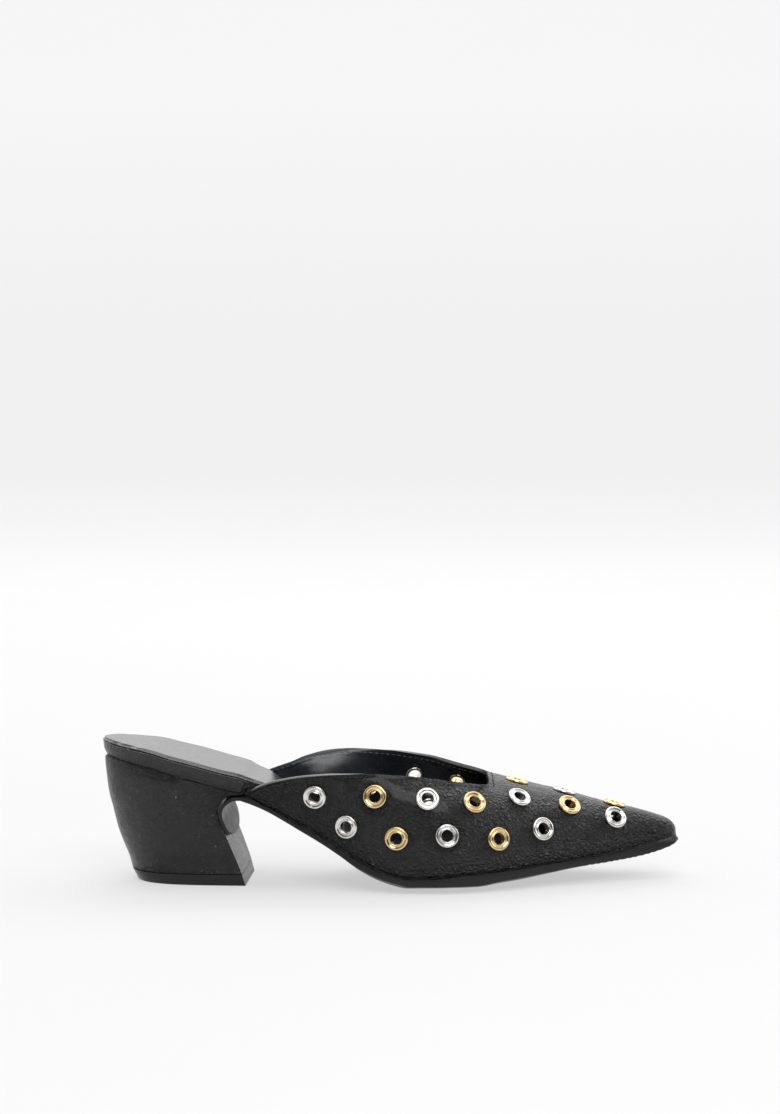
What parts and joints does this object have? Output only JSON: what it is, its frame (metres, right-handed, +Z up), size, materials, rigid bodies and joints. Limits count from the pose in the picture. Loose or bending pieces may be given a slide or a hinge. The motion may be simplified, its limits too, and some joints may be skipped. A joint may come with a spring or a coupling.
{
  "type": "block heel mule",
  "caption": "Backless pointed slip-on shoe with a forward-slanting block heel and rows of open two-tone eyelets across a hollow vamp, for the right foot.",
  "frame": {"origin": "on the floor, under the middle of the shoe's bounding box", "axes": "+X towards the toe, +Y towards the medial side, +Z up; the shoe stands on Z = 0"},
  "size_m": [0.2582, 0.0808, 0.0638],
  "materials": {
    "outsole_rubber": "matt black",
    "heel_leather": "crinkled black, semi-gloss",
    "top_lift_rubber": "smooth black",
    "footbed_leather": "crinkled black, semi-gloss",
    "sock_leather": "smooth black, soft gloss",
    "upper_leather": "crinkled black, semi-gloss",
    "silver_metal": "polished, silver tone",
    "gold_metal": "polished, pale gold tone"
  },
  "bodies": {
    "root": {"outsole": "outsole_rubber", "heel_block": "heel_leather", "top_lift": "top_lift_rubber", "footbed": "footbed_leather", "sock": "sock_leather", "upper": "upper_leather", "eyelet_lateral_upper_row_1": "silver_metal", "eyelet_lateral_upper_row_2": "gold_metal", "eyelet_lateral_upper_row_3": "silver_metal", "eyelet_lateral_upper_row_4": "gold_metal", "eyelet_lateral_upper_row_5": "silver_metal", "eyelet_lateral_upper_row_6": "gold_metal", "eyelet_lateral_upper_row_7": "silver_metal", "eyelet_lateral_lower_row_1": "silver_metal", "eyelet_lateral_lower_row_2": "gold_metal", "eyelet_lateral_lower_row_3": "silver_metal", "eyelet_lateral_lower_row_4": "gold_metal", "eyelet_lateral_lower_row_5": "silver_metal", "eyelet_medial_upper_row_1": "silver_metal", "eyelet_medial_upper_row_2": "gold_metal", "eyelet_medial_upper_row_3": "silver_metal", "eyelet_medial_upper_row_4": "gold_metal", "eyelet_medial_upper_row_5": "silver_metal", "eyelet_medial_upper_row_6": "gold_metal", "eyelet_medial_upper_row_7": "silver_metal", "eyelet_medial_lower_row_1": "silver_metal", "eyelet_medial_lower_row_2": "gold_metal", "eyelet_medial_lower_row_3": "silver_metal", "eyelet_medial_lower_row_4": "gold_metal", "eyelet_medial_lower_row_5": "silver_metal", "eyelet_middle_row_1": "gold_metal", "eyelet_middle_row_2": "silver_metal", "eyelet_middle_row_3": "gold_metal"}
  },
  "joints": []
}
